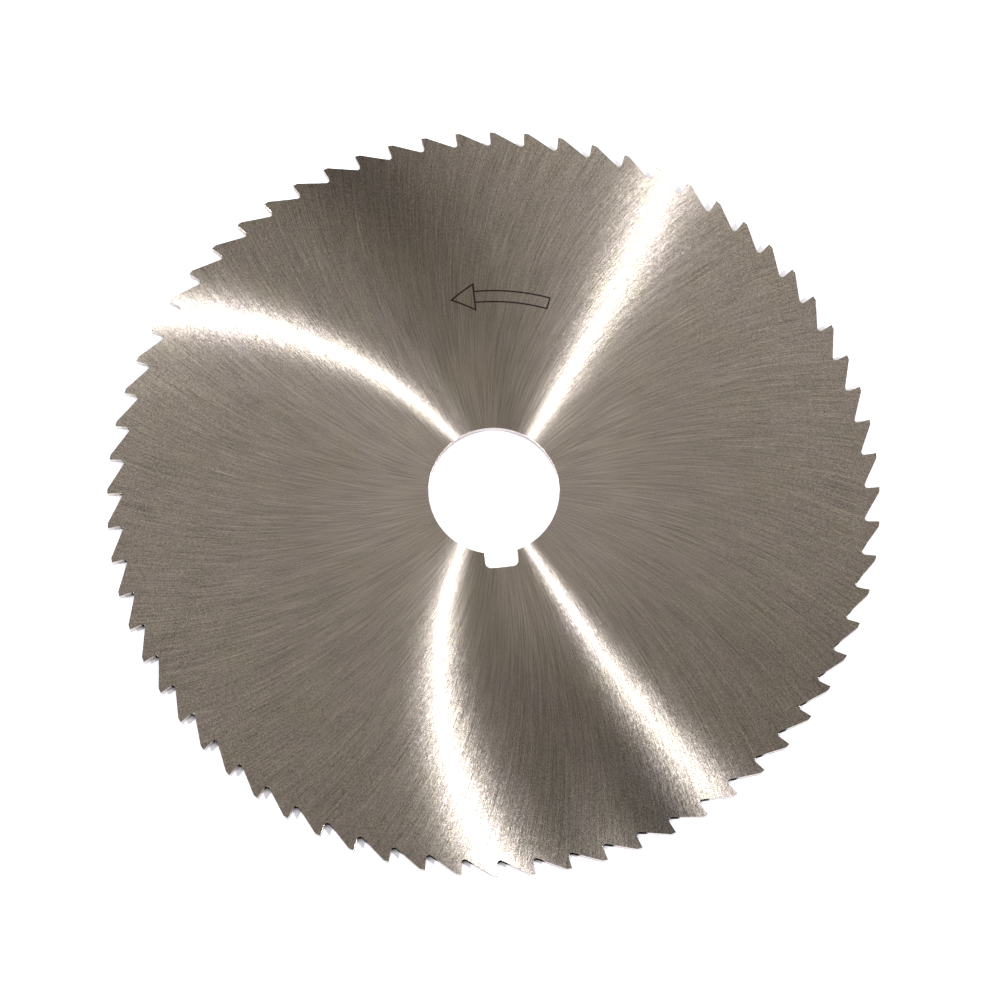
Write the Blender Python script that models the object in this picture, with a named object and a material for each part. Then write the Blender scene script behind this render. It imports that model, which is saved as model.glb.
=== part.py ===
# Slitting saw: one flat ring of hardened steel with teeth milled round its edge and a keyed bore.
# It lies on its side, with the bore's axis on Z, the lower rim face on Z = 0 and the keyway towards -Y.
# Run with: blender --background --python part.py

import bmesh
import bpy
from math import acos, asin, atan2, cos, pi, radians, sin, sqrt, tan
from mathutils import Matrix, Vector

MM = 0.001

# Blank
OUTER_DIAMETER = 150.0 * MM
THICKNESS = 2.0 * MM
# Each side is ground hollow, so that only the rim rubs in the cut
HOLLOW_DEPTH = 0.05 * MM
# Flat ring under the teeth that keeps the full thickness, measured in from the tooth roots
RIM_LAND_WIDTH = 1.1 * MM
# Flat ring round the bore for the arbor's collars, measured out from the keyway's floor
HUB_LAND_WIDTH = 6.0 * MM

# Teeth
TOOTH_COUNT = 68
TOOTH_DEPTH = 2.9 * MM
RAKE_ANGLE = radians(5.0)
RELIEF_ANGLE = radians(4.0)
TOOTH_LAND_WIDTH = 1.0 * MM
GULLET_RADIUS = 0.6 * MM
# Turn of the whole set of teeth, from a cutting edge that is square to the keyway
TOOTH_PHASE = radians(-0.17)

# Bore and keyway, for a one inch arbor with a quarter inch key
BORE_DIAMETER = 25.4 * MM
KEY_WIDTH = 6.35 * MM
KEY_CLEARANCE = 0.1 * MM
# From the bore's wall to the keyway's floor
KEYWAY_DEPTH = 2.75 * MM
KEYWAY_CORNER_RADIUS = 1.2 * MM

# Smoothness of the round parts
BORE_SEGMENTS = 108
CORNER_SEGMENTS = 6
GULLET_SEGMENTS = 8
RING_SEGMENTS_PER_TOOTH = 2

# Worked out from the sizes above
OUTER_RADIUS = OUTER_DIAMETER / 2
ROOT_RADIUS = OUTER_RADIUS - TOOTH_DEPTH
RIM_LAND_RADIUS = ROOT_RADIUS - RIM_LAND_WIDTH
BORE_RADIUS = BORE_DIAMETER / 2
KEYWAY_HALF_WIDTH = (KEY_WIDTH + KEY_CLEARANCE) / 2
KEYWAY_FLOOR_RADIUS = BORE_RADIUS + KEYWAY_DEPTH
HUB_LAND_RADIUS = KEYWAY_FLOOR_RADIUS + HUB_LAND_WIDTH
TOOTH_PITCH = 2 * pi / TOOTH_COUNT

STEEL_COLOUR = (0.46, 0.43, 0.40, 1.0)
STEEL_ROUGHNESS = 0.35
SMOOTH_ANGLE = radians(20.0)


def arc(centre, radius, start, end, segments):
    """Points of an arc in the XY plane, both ends included."""
    step = (end - start) / segments
    return [
        centre + radius * Vector((cos(start + i * step), sin(start + i * step)))
        for i in range(segments + 1)
    ]


def gullet_centre(edge_angle):
    """Centre of the round gullet that touches a tooth's face and the root circle."""
    out = Vector((cos(edge_angle), sin(edge_angle)))
    ahead = Vector((-out.y, out.x))
    radius = ROOT_RADIUS + GULLET_RADIUS
    # The face leans back by the rake, so the centre is found along the line beside it
    down_face = -cos(RAKE_ANGLE) * out - sin(RAKE_ANGLE) * ahead
    off_face = cos(RAKE_ANGLE) * ahead - sin(RAKE_ANGLE) * out
    start = OUTER_RADIUS * out + GULLET_RADIUS * off_face
    along = start.dot(down_face)
    reach = -along - sqrt(along**2 - start.length_squared + radius**2)
    return start + reach * down_face


def heel(edge_angle):
    """Back end of the narrow land behind a cutting edge."""
    out = Vector((cos(edge_angle), sin(edge_angle)))
    behind = Vector((out.y, -out.x))
    drop = TOOTH_LAND_WIDTH * tan(RELIEF_ANGLE)
    return (OUTER_RADIUS - drop) * out + TOOTH_LAND_WIDTH * behind


def tooth_gap(edge_angle):
    """One cutting edge, its face, the gullet ahead of it and the back of the next tooth."""
    edge = OUTER_RADIUS * Vector((cos(edge_angle), sin(edge_angle)))
    centre = gullet_centre(edge_angle)
    next_heel = heel(edge_angle + TOOTH_PITCH)
    # The gullet runs clockwise from where it touches the face to where it touches the next back
    face_side = edge_angle + RAKE_ANGLE - pi / 2
    to_heel = next_heel - centre
    back_side = atan2(to_heel.y, to_heel.x) + acos(GULLET_RADIUS / to_heel.length)
    sweep = (face_side - back_side) % (2 * pi)
    gullet = arc(centre, GULLET_RADIUS, face_side, face_side - sweep, GULLET_SEGMENTS)
    return [edge, *gullet, next_heel]


def blade_outline():
    """The toothed edge, counterclockwise, cutting edges facing the same way."""
    points = []
    for tooth in range(TOOTH_COUNT):
        points += tooth_gap(TOOTH_PHASE + tooth * TOOTH_PITCH)
    return points


def bore_outline():
    """The bore with its keyway, counterclockwise."""
    half_angle = asin(KEYWAY_HALF_WIDTH / BORE_RADIUS)
    right_edge = -pi / 2 + half_angle
    left_edge = 1.5 * pi - half_angle
    bore = arc(Vector((0, 0)), BORE_RADIUS, right_edge, left_edge, BORE_SEGMENTS)
    # Centres of the two rounded corners at the keyway's floor
    across = KEYWAY_HALF_WIDTH - KEYWAY_CORNER_RADIUS
    down = KEYWAY_CORNER_RADIUS - KEYWAY_FLOOR_RADIUS
    left = arc(Vector((-across, down)), KEYWAY_CORNER_RADIUS, pi, 1.5 * pi, CORNER_SEGMENTS)
    right = arc(Vector((across, down)), KEYWAY_CORNER_RADIUS, 1.5 * pi, 2 * pi, CORNER_SEGMENTS)
    return bore + left + right


def ring(radius):
    """A circle with points in line with the cutting edges."""
    segments = TOOTH_COUNT * RING_SEGMENTS_PER_TOOTH
    return arc(Vector((0, 0)), radius, TOOTH_PHASE, TOOTH_PHASE + 2 * pi, segments)[:-1]


def closed_loop(bm, points, height):
    """Edges of a closed loop through the points at one height."""
    verts = [bm.verts.new((p.x, p.y, height)) for p in points]
    return [bm.edges.new((a, b)) for a, b in zip(verts, verts[1:] + verts[:1])]


def flat_side(bm, outer, inner):
    """Flat metal between two loops at one height."""
    bmesh.ops.triangle_fill(bm, use_beauty=True, edges=outer + inner)


def band(bm, first, second):
    """Metal between two loops at different heights."""
    bmesh.ops.bridge_loops(bm, edges=first + second)


def build_side(bm):
    """The upper side, from the cutting edges in to the bore."""
    hub_height = THICKNESS - HOLLOW_DEPTH
    toothed_edge = closed_loop(bm, blade_outline(), THICKNESS)
    rim_land = closed_loop(bm, ring(RIM_LAND_RADIUS), THICKNESS)
    hub_land = closed_loop(bm, ring(HUB_LAND_RADIUS), hub_height)
    bore_edge = closed_loop(bm, bore_outline(), hub_height)
    flat_side(bm, toothed_edge, rim_land)
    band(bm, rim_land, hub_land)
    flat_side(bm, hub_land, bore_edge)
    return toothed_edge, bore_edge


def mirrored_below(bm, loops):
    """Adds the lower side, a mirror image of the upper one, and returns its copies of the loops."""
    geometry = bm.verts[:] + bm.edges[:] + bm.faces[:]
    copied = bmesh.ops.duplicate(bm, geom=geometry)
    verts = [part for part in copied["geom"] if isinstance(part, bmesh.types.BMVert)]
    mirror = Matrix.Translation((0, 0, THICKNESS)) @ Matrix.Diagonal((1, 1, -1, 1))
    bmesh.ops.transform(bm, matrix=mirror, verts=verts)
    return [[copied["edge_map"][edge] for edge in loop] for loop in loops]


def build_blade():
    """The whole saw as one closed mesh."""
    bm = bmesh.new()
    toothed_edge, bore_edge = build_side(bm)
    lower_toothed_edge, lower_bore_edge = mirrored_below(bm, (toothed_edge, bore_edge))
    band(bm, toothed_edge, lower_toothed_edge)
    band(bm, bore_edge, lower_bore_edge)
    bmesh.ops.recalc_face_normals(bm, faces=bm.faces)
    mesh = bpy.data.meshes.new("saw_blade")
    bm.to_mesh(mesh)
    bm.free()
    mesh.shade_smooth()
    mesh.set_sharp_from_angle(angle=SMOOTH_ANGLE)
    return mesh


def ground_steel():
    """Bright ground tool steel."""
    material = bpy.data.materials.new("ground_steel")
    material.use_nodes = True
    shader = material.node_tree.nodes["Principled BSDF"]
    shader.inputs["Base Color"].default_value = STEEL_COLOUR
    shader.inputs["Metallic"].default_value = 1.0
    shader.inputs["Roughness"].default_value = STEEL_ROUGHNESS
    return material


def main():
    for old in list(bpy.data.objects):
        bpy.data.objects.remove(old, do_unlink=True)
    mesh = build_blade()
    mesh.materials.append(ground_steel())
    blade = bpy.data.objects.new("saw_blade", mesh)
    bpy.context.scene.collection.objects.link(blade)


main()
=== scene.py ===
# The looks of a slitting saw: ground tool steel that lies on a white table under two studio lamps.
from math import cos, hypot, pi, radians, sin

import bmesh
import bpy
from mathutils import Matrix, Vector


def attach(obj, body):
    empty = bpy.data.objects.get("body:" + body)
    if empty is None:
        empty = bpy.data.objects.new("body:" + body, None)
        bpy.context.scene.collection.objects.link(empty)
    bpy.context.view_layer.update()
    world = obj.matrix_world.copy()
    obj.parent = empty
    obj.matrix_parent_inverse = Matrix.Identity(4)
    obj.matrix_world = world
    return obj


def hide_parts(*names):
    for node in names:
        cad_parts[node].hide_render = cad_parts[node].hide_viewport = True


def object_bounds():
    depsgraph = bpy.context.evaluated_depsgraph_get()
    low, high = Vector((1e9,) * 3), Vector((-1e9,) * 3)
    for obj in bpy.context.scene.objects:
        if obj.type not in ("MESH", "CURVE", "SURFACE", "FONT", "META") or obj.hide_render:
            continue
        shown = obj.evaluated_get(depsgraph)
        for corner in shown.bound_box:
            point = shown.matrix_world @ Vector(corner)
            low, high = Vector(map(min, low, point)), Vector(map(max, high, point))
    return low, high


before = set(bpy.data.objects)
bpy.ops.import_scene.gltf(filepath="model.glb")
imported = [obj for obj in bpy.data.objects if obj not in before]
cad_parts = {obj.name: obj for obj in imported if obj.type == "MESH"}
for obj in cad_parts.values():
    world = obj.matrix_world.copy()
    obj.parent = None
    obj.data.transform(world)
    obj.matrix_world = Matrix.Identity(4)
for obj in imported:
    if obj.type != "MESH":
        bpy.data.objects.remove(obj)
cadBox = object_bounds()

mm = 0.001
middleHeight = (cadBox[0].z + cadBox[1].z) / 2

# The keyway is turned this far from the side that the camera looks from
lyingTurn = radians(-8.13)


# Nodes

def addNode(tree, kind, **settings):
    node = tree.nodes.new(kind)
    for name, value in settings.items():
        setattr(node, name, value)
    return node


def feed(tree, socket, value):
    if isinstance(value, bpy.types.NodeSocket):
        tree.links.new(value, socket)
    else:
        socket.default_value = value


def calc(tree, operation, *values):
    node = addNode(tree, "ShaderNodeMath", operation=operation)
    for socket, value in zip(node.inputs, values):
        feed(tree, socket, value)
    return node.outputs[0]


def vectorCalc(tree, operation, *values):
    node = addNode(tree, "ShaderNodeVectorMath", operation=operation)
    for socket, value in zip(node.inputs, values):
        feed(tree, socket, value)
    return node.outputs["Value" if operation in ("LENGTH", "DOT_PRODUCT") else "Vector"]


def scaled(tree, vector, factor):
    node = addNode(tree, "ShaderNodeVectorMath", operation="SCALE")
    feed(tree, node.inputs[0], vector)
    feed(tree, node.inputs["Scale"], factor)
    return node.outputs["Vector"]


def combined(tree, x, y, z):
    node = addNode(tree, "ShaderNodeCombineXYZ")
    for socket, value in zip(node.inputs, (x, y, z)):
        feed(tree, socket, value)
    return node.outputs[0]


def separated(tree, vector):
    node = addNode(tree, "ShaderNodeSeparateXYZ")
    feed(tree, node.inputs[0], vector)
    return node.outputs


# Noise that swings to both sides of 0; detail counts its finer layers, and roughness says how strong they are
def swing(tree, vector, scale, detail, roughness):
    node = addNode(tree, "ShaderNodeTexNoise")
    feed(tree, node.inputs["Vector"], vector)
    node.inputs["Scale"].default_value = scale
    node.inputs["Detail"].default_value = detail
    node.inputs["Roughness"].default_value = roughness
    return calc(tree, "SUBTRACT", node.outputs["Fac"], 0.5)


def remap(tree, value, low, high, toLow, toHigh, smooth=False):
    node = addNode(tree, "ShaderNodeMapRange")
    if smooth:
        node.interpolation_type = "SMOOTHSTEP"
    for socket, number in zip(node.inputs, (value, low, high, toLow, toHigh)):
        feed(tree, socket, number)
    return node.outputs[0]


def mixed(tree, share, first, second):
    node = addNode(tree, "ShaderNodeMix", data_type="RGBA")
    # The factor and the two colours among the sockets of every data type
    for place, value in ((0, share), (6, first), (7, second)):
        feed(tree, node.inputs[place], value)
    return node.outputs[2]


def addBump(tree, shader, height, depth):
    bump = addNode(tree, "ShaderNodeBump")
    bump.inputs["Distance"].default_value = depth
    feed(tree, bump.inputs["Height"], height)
    feed(tree, shader.inputs["Normal"], bump.outputs["Normal"])


# Worked steel: fine lines, grain and faint stains, shared by the sides and the walls

steelSkin = {
    "grainSize": 0.15 * mm,
    "grainNoise": (1.0, 0.5),
    "stainSize": 7.0 * mm,
    "stainNoise": (4.0, 0.6),
    "hueSize": 11.0 * mm,
    "hueNoise": (5.0, 0.75),
    # What the turn of hue adds to red, green and blue
    "hueTint": (-0.1, -0.45, 1.1),
}


def buildSteelSkin(look):
    group = bpy.data.node_groups.new("steelSkin", "ShaderNodeTree")
    for name, kind in {
        "Place": "Vector", "Line": "Float", "Colour": "Color", "Line Shade": "Float",
        "Grain Shade": "Float", "Stain Shade": "Float", "Stain Hue": "Float",
        "Roughness": "Float", "Roughness Spread": "Float", "Line Height": "Float",
        "Grain Height": "Float",
    }.items():
        group.interface.new_socket(name, in_out="INPUT", socket_type="NodeSocket" + kind)
    for name, kind in {"Colour": "Color", "Roughness": "Float", "Height": "Float"}.items():
        group.interface.new_socket(name, in_out="OUTPUT", socket_type="NodeSocket" + kind)
    given = addNode(group, "NodeGroupInput").outputs
    result = addNode(group, "NodeGroupOutput").inputs

    grain = swing(group, given["Place"], 1.0 / look["grainSize"], *look["grainNoise"])
    stain = swing(group, given["Place"], 1.0 / look["stainSize"], *look["stainNoise"])
    hue = swing(group, given["Place"], 1.0 / look["hueSize"], *look["hueNoise"])

    shade = calc(group, "MULTIPLY_ADD", given["Line"], given["Line Shade"], 1.0)
    shade = calc(group, "MULTIPLY_ADD", grain, given["Grain Shade"], shade)
    shade = calc(group, "MULTIPLY_ADD", stain, given["Stain Shade"], shade)
    turn = calc(group, "MULTIPLY", hue, given["Stain Hue"])
    tint = combined(group, *[calc(group, "MULTIPLY_ADD", turn, share, 1.0) for share in look["hueTint"]])
    feed(group, result["Colour"], scaled(group, vectorCalc(group, "MULTIPLY", given["Colour"], tint), shade))
    feed(
        group, result["Roughness"],
        calc(group, "MULTIPLY_ADD", given["Line"], given["Roughness Spread"], given["Roughness"]),
    )
    height = calc(group, "MULTIPLY", grain, given["Grain Height"])
    feed(group, result["Height"], calc(group, "MULTIPLY_ADD", given["Line"], given["Line Height"], height))
    return group


steelSkinGroup = buildSteelSkin(steelSkin)


def addSkin(tree, place, line, roughness, look):
    skin = addNode(tree, "ShaderNodeGroup", node_tree=steelSkinGroup)
    feed(tree, skin.inputs["Place"], place)
    feed(tree, skin.inputs["Line"], line)
    feed(tree, skin.inputs["Roughness"], roughness)
    for name in ("Colour", "Line Shade", "Grain Shade", "Stain Shade", "Stain Hue",
                 "Roughness Spread", "Line Height", "Grain Height"):
        feed(tree, skin.inputs[name], look[name])
    return skin.outputs


# The ground sides

groundSides = {
    "Colour": (0.588, 0.518, 0.464, 1.0),
    "Line Shade": 1.1,
    "Grain Shade": 2.7,
    "Stain Shade": 0.2,
    "Stain Hue": 0.22,
    "Roughness Spread": 0.02,
    "Line Height": 0.4,
    "Grain Height": 0.15,
    "anisotropy": 1.0,
    # The grinding lines are arcs of about this radius, which would pass this near the bore's axis
    "lineRadius": 107.0 * mm,
    "lineMiss": 0.7 * mm,
    # They are long dashes, about as wide on each of these rings
    "lineRings": (17.0 * mm, 34.0 * mm, 68.0 * mm),
    "lineWidth": 0.14 * mm,
    "lineLength": 8.0 * mm,
    "dashNoise": (1.0, 0.5),
    # Shorter dashes turn the gloss off the lines' direction by this slope
    "sparkWidth": 0.13 * mm,
    "sparkLength": 0.80 * mm,
    "sparkWaver": 0.21,
    # Broad faint streaks, which turn it too
    "streaksPerRadian": 30.0,
    "streakLength": 55.0 * mm,
    "streakNoise": (5.0, 0.75),
    "streakShade": 0.11,
    "streakWaver": 0.06,
    # A few long scratches, dark and bright, where their noise swings this far
    "scratchesPerRadian": 190.0,
    "scratchLength": 22.0 * mm,
    "scratchNoise": (1.0, 0.5),
    "scratchFrom": 0.17,
    "scratchFull": 0.23,
    "scratchShade": 0.19,
    # Near these bearings of the place, or of the lines there, the gloss turns faster than the lines do:
    # by how great a share, and up to how many degrees away
    "tightPlaces": {62.2: (0.30, 22.0), 304.7: (0.92, 22.0)},
    "tightLines": {130.0: (0.65, 17.0), 249.2: (0.25, 22.0)},
    # The steel is brighter round the bore, and the gloss is a little wider there
    "bright": 1.13,
    "brightStart": 18.0 * mm,
    "brightEnd": 42.0 * mm,
    "hubRadius": 20.0 * mm,
    "hubRoughness": 0.290,
    "rimRadius": 70.0 * mm,
    "rimRoughness": 0.278,
    "bumpHeight": 0.0045 * mm,
}

# A generic arrow, etched on the upper side, that shows which way the saw turns
turnArrow = {
    "bearing": radians(82.0),
    "radius": 40.0 * mm,
    "tail": -9.6 * mm,
    "neck": 5.2 * mm,
    "tip": 9.8 * mm,
    "shaftHalf": 1.15 * mm,
    "headHalf": 2.7 * mm,
    "line": 0.20 * mm,
    "blur": 0.10 * mm,
    "depth": 0.88,
}


# 1 on the arrow's outline and 0 elsewhere
def arrowMask(tree, x, y, radius, side, look):
    sweep = calc(tree, "SUBTRACT", calc(tree, "ARCTAN2", y, x), look["bearing"])
    ahead = calc(tree, "MULTIPLY", sweep, look["radius"])
    aside = calc(tree, "ABSOLUTE", calc(tree, "SUBTRACT", radius, look["radius"]))
    middle, half = (look["tail"] + look["neck"]) / 2, (look["neck"] - look["tail"]) / 2
    # How far a point lies outside the shaft and outside the head
    shaft = calc(
        tree, "MAXIMUM",
        calc(tree, "SUBTRACT", calc(tree, "ABSOLUTE", calc(tree, "SUBTRACT", ahead, middle)), half),
        calc(tree, "SUBTRACT", aside, look["shaftHalf"]),
    )
    run, rise = look["tip"] - look["neck"], look["headHalf"]
    slant = calc(
        tree, "MULTIPLY_ADD", calc(tree, "SUBTRACT", ahead, look["tip"]), rise / hypot(run, rise),
        calc(tree, "MULTIPLY", aside, run / hypot(run, rise)),
    )
    head = calc(tree, "MAXIMUM", calc(tree, "SUBTRACT", look["neck"], ahead), slant)
    edge = calc(tree, "ABSOLUTE", calc(tree, "MINIMUM", shaft, head))
    outline = remap(tree, edge, look["line"] / 2, look["line"] / 2 + look["blur"], 1.0, 0.0)
    return calc(tree, "MULTIPLY", outline, calc(tree, "MAXIMUM", side, 0.0))


def groundSteel(look, arrow):
    material = bpy.data.materials.new("groundSteelSides")
    material.use_nodes = True
    tree = material.node_tree
    shader = tree.nodes["Principled BSDF"]
    shader.inputs["Metallic"].default_value = 1.0
    shader.inputs["Anisotropic"].default_value = look["anisotropy"]

    place = addNode(tree, "ShaderNodeTexCoord").outputs["Object"]
    x, y, z = separated(tree, place)
    outward = combined(tree, x, y, 0.0)
    around = combined(tree, calc(tree, "MULTIPLY", y, -1.0), x, 0.0)
    radius = vectorCalc(tree, "LENGTH", outward)

    # How a line leans off the radius; the lower side's lines lean the other way when seen from above
    side = calc(tree, "SIGN", calc(tree, "SUBTRACT", z, middleHeight))
    arc = calc(tree, "DIVIDE", radius, 2 * look["lineRadius"])
    miss = calc(tree, "DIVIDE", look["lineMiss"], radius)
    lean = calc(tree, "MULTIPLY", calc(tree, "SUBTRACT", arc, miss), side)
    upright = calc(tree, "SQRT", calc(tree, "SUBTRACT", 1.0, calc(tree, "MULTIPLY", lean, lean)))
    across = vectorCalc(tree, "ADD", scaled(tree, around, upright), scaled(tree, outward, lean))
    along = vectorCalc(tree, "SUBTRACT", scaled(tree, outward, upright), scaled(tree, around, lean))

    # Every point of one line has the same bearing, so what is made from it follows the lines
    turn = calc(tree, "MULTIPLY", calc(tree, "ADD", arc, miss), side)
    bearing = vectorCalc(
        tree, "ADD", scaled(tree, outward, calc(tree, "COSINE", turn)),
        scaled(tree, around, calc(tree, "SINE", turn)),
    )

    def onLines(perRadian, length):
        wrapped = scaled(tree, bearing, calc(tree, "DIVIDE", perRadian, radius))
        run = combined(tree, 0.0, 0.0, calc(tree, "DIVIDE", radius, length))
        return vectorCalc(tree, "ADD", wrapped, run)

    # Each ring's dashes fade into the next ring's
    def dashes(width, length):
        field = 0.0
        for ring in look["lineRings"]:
            octaves = calc(tree, "ABSOLUTE", calc(tree, "LOGARITHM", calc(tree, "DIVIDE", radius, ring), 2.0))
            share = calc(tree, "SQRT", calc(tree, "MAXIMUM", calc(tree, "SUBTRACT", 1.0, octaves), 0.0))
            part = swing(tree, onLines(ring / width, length), 1.0, *look["dashNoise"])
            field = calc(tree, "MULTIPLY_ADD", part, share, field)
        return field

    line = dashes(look["lineWidth"], look["lineLength"])
    spark = dashes(look["sparkWidth"], look["sparkLength"])
    streak = swing(
        tree, onLines(look["streaksPerRadian"], look["streakLength"]), 1.0, *look["streakNoise"],
    )
    scratch = swing(
        tree, onLines(look["scratchesPerRadian"], look["scratchLength"]), 1.0, *look["scratchNoise"],
    )

    roughness = remap(
        tree, radius, look["hubRadius"], look["rimRadius"], look["hubRoughness"], look["rimRoughness"],
    )
    skin = addSkin(tree, place, line, roughness, look)

    # The slope by which the gloss turns off the lines' direction
    waver = calc(
        tree, "MULTIPLY_ADD", streak, look["streakWaver"], calc(tree, "MULTIPLY", spark, look["sparkWaver"]),
    )
    # Where it turns faster, a band of light gets narrower than the shader alone can make it
    for direction, turns in ((outward, look["tightPlaces"]), (along, look["tightLines"])):
        heading = vectorCalc(tree, "NORMALIZE", direction)
        for towards, (gain, reach) in turns.items():
            middle = radians(towards) + lyingTurn
            ahead = vectorCalc(tree, "DOT_PRODUCT", heading, (cos(middle), sin(middle), 0.0))
            aside = vectorCalc(tree, "DOT_PRODUCT", heading, (-sin(middle), cos(middle), 0.0))
            near = remap(tree, ahead, cos(radians(reach)), 1.0, 0.0, -gain, smooth=True)
            waver = calc(tree, "MULTIPLY_ADD", aside, near, waver)
    tangent = vectorCalc(tree, "ADD", across, scaled(tree, along, waver))
    turned = addNode(
        tree, "ShaderNodeVectorTransform",
        vector_type="VECTOR", convert_from="OBJECT", convert_to="WORLD",
    )
    feed(tree, turned.inputs[0], tangent)
    feed(tree, shader.inputs["Tangent"], turned.outputs[0])

    start, full = look["scratchFrom"], look["scratchFull"]
    dark = remap(tree, scratch, start, full, 0.0, look["scratchShade"], smooth=True)
    bright = remap(tree, scratch, -full, -start, look["scratchShade"], 0.0, smooth=True)
    shade = calc(
        tree, "MULTIPLY_ADD", streak, look["streakShade"],
        remap(tree, radius, look["brightStart"], look["brightEnd"], look["bright"], 1.0, smooth=True),
    )
    shade = calc(tree, "ADD", calc(tree, "SUBTRACT", shade, dark), bright)
    etched = arrowMask(tree, x, y, radius, side, arrow)
    shade = calc(tree, "MULTIPLY", shade, calc(tree, "MULTIPLY_ADD", etched, -arrow["depth"], 1.0))
    feed(tree, shader.inputs["Base Color"], scaled(tree, skin["Colour"], shade))
    feed(tree, shader.inputs["Roughness"], skin["Roughness"])
    addBump(tree, shader, skin["Height"], look["bumpHeight"])
    return material


# The walls of the teeth, the gullets, the bore and the keyway

groundWalls = {
    "Colour": (0.53, 0.48, 0.44, 1.0),
    "Line Shade": 0.6,
    "Grain Shade": 0.4,
    "Stain Shade": 0.2,
    "Stain Hue": 0.10,
    "roughness": 0.36,
    "Roughness Spread": 0.10,
    "Line Height": 1.0,
    "Grain Height": 1.0,
    "anisotropy": 0.5,
    "lineWidth": 0.10 * mm,
    "lineNoise": (2.0, 0.5),
    # How fast the lines change from side to side, as a share of how fast they do across
    "lineStretch": 0.1,
    # Painted shade: the walls at the gullets' roots are made dark and dull, which ends this far from the
    # bore's axis
    "rootShadeStart": 60.0 * mm,
    "rootShadeEnd": 72.6 * mm,
    "rootShadeFade": 72.95 * mm,
    # It ends too where a gullet's curve turns into the tooth's face, by the share that points ahead
    "faceStart": 0.93,
    "faceFull": 1.0,
    "rootShadeLevel": 0.02,
    "rootShadeGloss": 0.0,
    "bumpHeight": 0.004 * mm,
}


def wallSteel(look):
    material = bpy.data.materials.new("groundSteelWalls")
    material.use_nodes = True
    tree = material.node_tree
    shader = tree.nodes["Principled BSDF"]
    shader.inputs["Specular IOR Level"].default_value = look["rootShadeGloss"]
    shader.inputs["Anisotropic"].default_value = look["anisotropy"]
    coordinates = addNode(tree, "ShaderNodeTexCoord").outputs
    place = coordinates["Object"]
    x, y, z = separated(tree, place)
    radius = vectorCalc(tree, "LENGTH", combined(tree, x, y, 0.0))
    around = vectorCalc(tree, "NORMALIZE", combined(tree, calc(tree, "MULTIPLY", y, -1.0), x, 0.0))
    ahead = vectorCalc(tree, "DOT_PRODUCT", coordinates["Normal"], around)

    # The cutter's lines run from side to side
    lined = combined(tree, x, y, calc(tree, "MULTIPLY", z, look["lineStretch"]))
    line = swing(tree, lined, 1.0 / look["lineWidth"], *look["lineNoise"])
    skin = addSkin(tree, place, line, look["roughness"], look)

    # 1 on bare steel and 0 on the painted shade at the gullets' roots
    bare = calc(
        tree, "MAXIMUM", calc(tree, "LESS_THAN", radius, look["rootShadeStart"]),
        remap(tree, radius, look["rootShadeEnd"], look["rootShadeFade"], 0.0, 1.0, smooth=True),
    )
    bare = calc(tree, "MAXIMUM", bare, remap(tree, ahead, look["faceStart"], look["faceFull"], 0.0, 1.0))
    shade = calc(tree, "MULTIPLY_ADD", bare, 1.0 - look["rootShadeLevel"], look["rootShadeLevel"])
    feed(tree, shader.inputs["Base Color"], scaled(tree, skin["Colour"], shade))
    feed(tree, shader.inputs["Metallic"], bare)
    feed(tree, shader.inputs["Roughness"], skin["Roughness"])
    addBump(tree, shader, skin["Height"], look["bumpHeight"])
    return material


# The blade

bladeShape = {
    "mergeDistance": 0.001 * mm,
    "edgeBevel": 0.03 * mm,
    "bevelSegments": 2,
    "sharpAngle": radians(25.0),
    # A face belongs to the sides if it leans less than this from level
    "levelLimit": cos(radians(30.0)),
}


def dressedBlade(shape):
    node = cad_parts["saw_blade"]
    bm = bmesh.new()
    bm.from_mesh(node.data)
    bmesh.ops.remove_doubles(bm, verts=bm.verts, dist=shape["mergeDistance"])
    sharp = [e for e in bm.edges if e.is_manifold and e.calc_face_angle() > shape["sharpAngle"]]
    bmesh.ops.bevel(
        bm, geom=sharp, offset=shape["edgeBevel"], offset_type="OFFSET", affect="EDGES",
        segments=shape["bevelSegments"], profile=0.5, material=-1, clamp_overlap=True,
    )
    bm.normal_update()
    for face in bm.faces:
        face.material_index = 0 if abs(face.normal.z) > shape["levelLimit"] else 1
    mesh = bpy.data.meshes.new("toothedBlade")
    bm.to_mesh(mesh)
    bm.free()
    mesh.set_sharp_from_angle(angle=shape["sharpAngle"])
    # The ground sides stay flat, and only the walls are rounded from facet to facet
    for face in mesh.polygons:
        face.use_smooth = face.material_index == 1
    mesh.materials.append(groundSteel(groundSides, turnArrow))
    mesh.materials.append(wallSteel(groundWalls))
    print("steel:", ", ".join(material.name for material in mesh.materials))
    blade = bpy.data.objects.new("toothed_blade", mesh)
    bpy.context.scene.collection.objects.link(blade)
    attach(blade, "root")
    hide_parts("saw_blade")
    print("blade:", len(mesh.polygons), "faces")


dressedBlade(bladeShape)


# The studio

tableTop = {
    "radius": 12.0,
    "segments": 96,
    # How far the table lies under the saw
    "drop": 0.02 * mm,
    "colour": (0.90, 0.89, 0.95, 1.0),
    "roughness": 0.9,
    # The glow's strength near the saw and farther out, and how many metres out it changes
    "glowColour": (1.0, 0.99, 1.04, 1.0),
    "glowNear": 0.50,
    "glowFar": 1.0,
    "glowStart": 0.15,
    "glowEnd": 1.2,
    # The glow fades, as a painted contact shadow, where walls this near leave so small a share of the sky
    # open
    "contactReach": 1.5 * mm,
    "contactSamples": 8,
    "contactDark": 0.27,
    "contactLight": 0.54,
    # Right under the saw it has the room's tone for what is this near, so the lower side is lit too
    "underColour": (0.80, 0.752, 0.712, 1.0),
    "underReach": 0.5 * mm,
    "underDark": 0.05,
}


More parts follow.
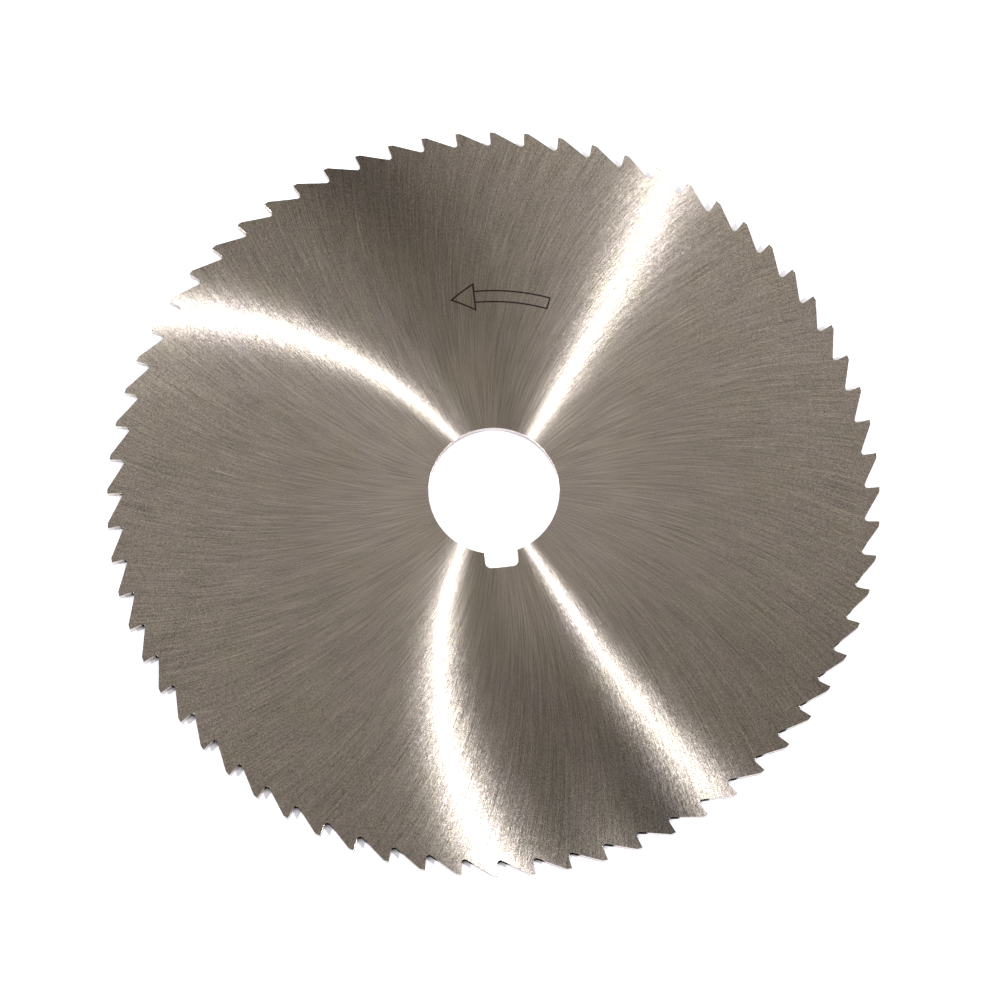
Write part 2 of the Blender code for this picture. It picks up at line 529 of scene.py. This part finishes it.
def addTable(look):
    bm = bmesh.new()
    bmesh.ops.create_circle(bm, cap_ends=True, segments=look["segments"], radius=look["radius"])
    mesh = bpy.data.meshes.new("tableTop")
    bm.to_mesh(mesh)
    bm.free()
    mesh.transform(Matrix.Translation((0, 0, cadBox[0].z - look["drop"])))
    material = bpy.data.materials.new("whiteTable")
    material.use_nodes = True
    tree = material.node_tree
    shader = tree.nodes["Principled BSDF"]
    shader.inputs["Base Color"].default_value = look["colour"]
    shader.inputs["Roughness"].default_value = look["roughness"]
    shader.inputs["Specular IOR Level"].default_value = 0.0
    # The camera and what mirrors the table see it white as far as it goes
    light = addNode(tree, "ShaderNodeLightPath").outputs
    seen = calc(
        tree, "MAXIMUM", light["Is Camera Ray"],
        calc(tree, "MAXIMUM", light["Is Glossy Ray"], light["Is Transmission Ray"]),
    )
    place = addNode(tree, "ShaderNodeTexCoord").outputs["Object"]
    glow = remap(
        tree, vectorCalc(tree, "LENGTH", place), look["glowStart"], look["glowEnd"],
        look["glowNear"], look["glowFar"],
    )
    contact = addNode(tree, "ShaderNodeAmbientOcclusion", samples=look["contactSamples"])
    contact.inputs["Distance"].default_value = look["contactReach"]
    clear = remap(tree, contact.outputs["AO"], look["contactDark"], look["contactLight"], 0.0, 1.0)
    under = calc(
        tree, "MULTIPLY", calc(tree, "LESS_THAN", contact.outputs["AO"], look["underDark"]),
        calc(tree, "LESS_THAN", light["Ray Length"], look["underReach"]),
    )
    glow = calc(tree, "MULTIPLY", glow, calc(tree, "MAXIMUM", clear, under))
    feed(tree, shader.inputs["Emission Strength"], calc(tree, "MULTIPLY", seen, glow))
    feed(tree, shader.inputs["Emission Color"], mixed(tree, under, look["glowColour"], look["underColour"]))
    # From below the table isn't there, so that the saw's lower side can be seen
    below = addNode(tree, "ShaderNodeNewGeometry").outputs["Backfacing"]
    feed(tree, shader.inputs["Alpha"], calc(tree, "SUBTRACT", 1.0, below))
    mesh.materials.append(material)
    table = bpy.data.objects.new("table_top", mesh)
    bpy.context.scene.collection.objects.link(table)
    print("table:", 2 * look["radius"], "m across")


addTable(tableTop)


# Bearings and heights are in degrees, seen from the saw, with the camera's side at -90
studioLamps = {
    "right": {"bearing": -9.7, "height": 50.0, "distance": 1.04, "width": 0.03, "level": 1.95},
    "left": {"bearing": 190.6, "height": 50.0, "distance": 1.467, "width": 0.04, "level": 2.05},
    "colour": (0.985, 1.0, 1.01),
}


def addLamp(name, look, colour):
    lamp = bpy.data.lights.new(name, "AREA")
    lamp.shape = "DISK"
    lamp.size = look["width"]
    lamp.color = colour
    # A level of 1 gives a white sheet that faces the lamp a brightness of 1 over pi
    lamp.energy = look["level"] * pi * look["distance"] ** 2
    holder = bpy.data.objects.new(name, lamp)
    bearing, height = radians(look["bearing"]) + lyingTurn, radians(look["height"])
    away = Vector((cos(height) * cos(bearing), cos(height) * sin(bearing), sin(height)))
    facing = away.to_track_quat("Z", "Y").to_matrix().to_4x4()
    holder.matrix_world = Matrix.Translation(away * look["distance"]) @ facing
    holder.visible_camera = False
    bpy.context.scene.collection.objects.link(holder)
    print("lamp:", name)


for lampName in ("right", "left"):
    addLamp(lampName, studioLamps[lampName], studioLamps["colour"])


# A dim room with a broad bright window behind the saw, and darkness behind the camera
studioRoom = {
    "roomColour": (1.0, 0.94, 0.82, 1.0),
    "windowColour": (1.0, 0.965, 0.92, 1.0),
    "windowStart": 0.40,
    "windowEnd": 0.55,
    "bearing": 96.0,
    # Brightness by how far a direction points towards the window: 1 is straight at it, -1 straight away
    "profile": {-0.5: 0.0, -0.3: 0.14, -0.1: 0.26, 0.0: 0.25, 0.10: 0.08, 0.18: 0.03, 0.27: 0.48,
                0.34: 0.19, 0.41: 0.01, 0.5: 0.60, 0.6: 1.20, 0.8: 1.30, 1.0: 0.5},
}


def addRoom(look):
    world = bpy.data.worlds.new("studioRoom")
    bpy.context.scene.world = world
    world.use_nodes = True
    tree = world.node_tree
    background = tree.nodes["Background"]
    towards = addNode(tree, "ShaderNodeTexCoord").outputs["Object"]
    bearing = radians(look["bearing"]) + lyingTurn
    facing = vectorCalc(tree, "DOT_PRODUCT", towards, (cos(bearing), sin(bearing), 0.0))
    stops = sorted(look["profile"].items())
    strength = stops[0][1]
    # Each stretch between two stops adds its own rise or fall
    for (low, before), (high, after) in zip(stops, stops[1:]):
        strength = calc(tree, "ADD", remap(tree, facing, low, high, 0.0, after - before), strength)
    feed(tree, background.inputs["Strength"], strength)
    window = remap(tree, facing, look["windowStart"], look["windowEnd"], 0.0, 1.0)
    feed(tree, background.inputs["Color"], mixed(tree, window, look["roomColour"], look["windowColour"]))
    print("room:", len(stops), "stops")


addRoom(studioRoom)


cameraView = {
    "lens": 102.08,
    "sensor": 36.0,
    "clipStart": 10.0 * mm,
    "distance": 552.2 * mm,
    "elevation": radians(74.125),
    "roll": radians(2.037),
    "aimRight": 1.245 * mm,
    "aimUp": -1.304 * mm,
}


def addCamera(look):
    lens = bpy.data.cameras.new("camera")
    lens.lens = look["lens"]
    lens.sensor_width = look["sensor"]
    lens.clip_start = look["clipStart"]
    camera = bpy.data.objects.new("camera", lens)
    camera.matrix_world = (
        Matrix.Rotation(lyingTurn, 4, "Z")
        @ Matrix.Rotation(pi / 2 - look["elevation"], 4, "X")
        @ Matrix.Translation((look["aimRight"], look["aimUp"], look["distance"]))
        @ Matrix.Rotation(look["roll"], 4, "Z")
    )
    bpy.context.scene.collection.objects.link(camera)
    bpy.context.scene.camera = camera
    print("camera:", look["lens"], "mm lens")


addCamera(cameraView)
bpy.context.scene.view_settings.view_transform = "Standard"
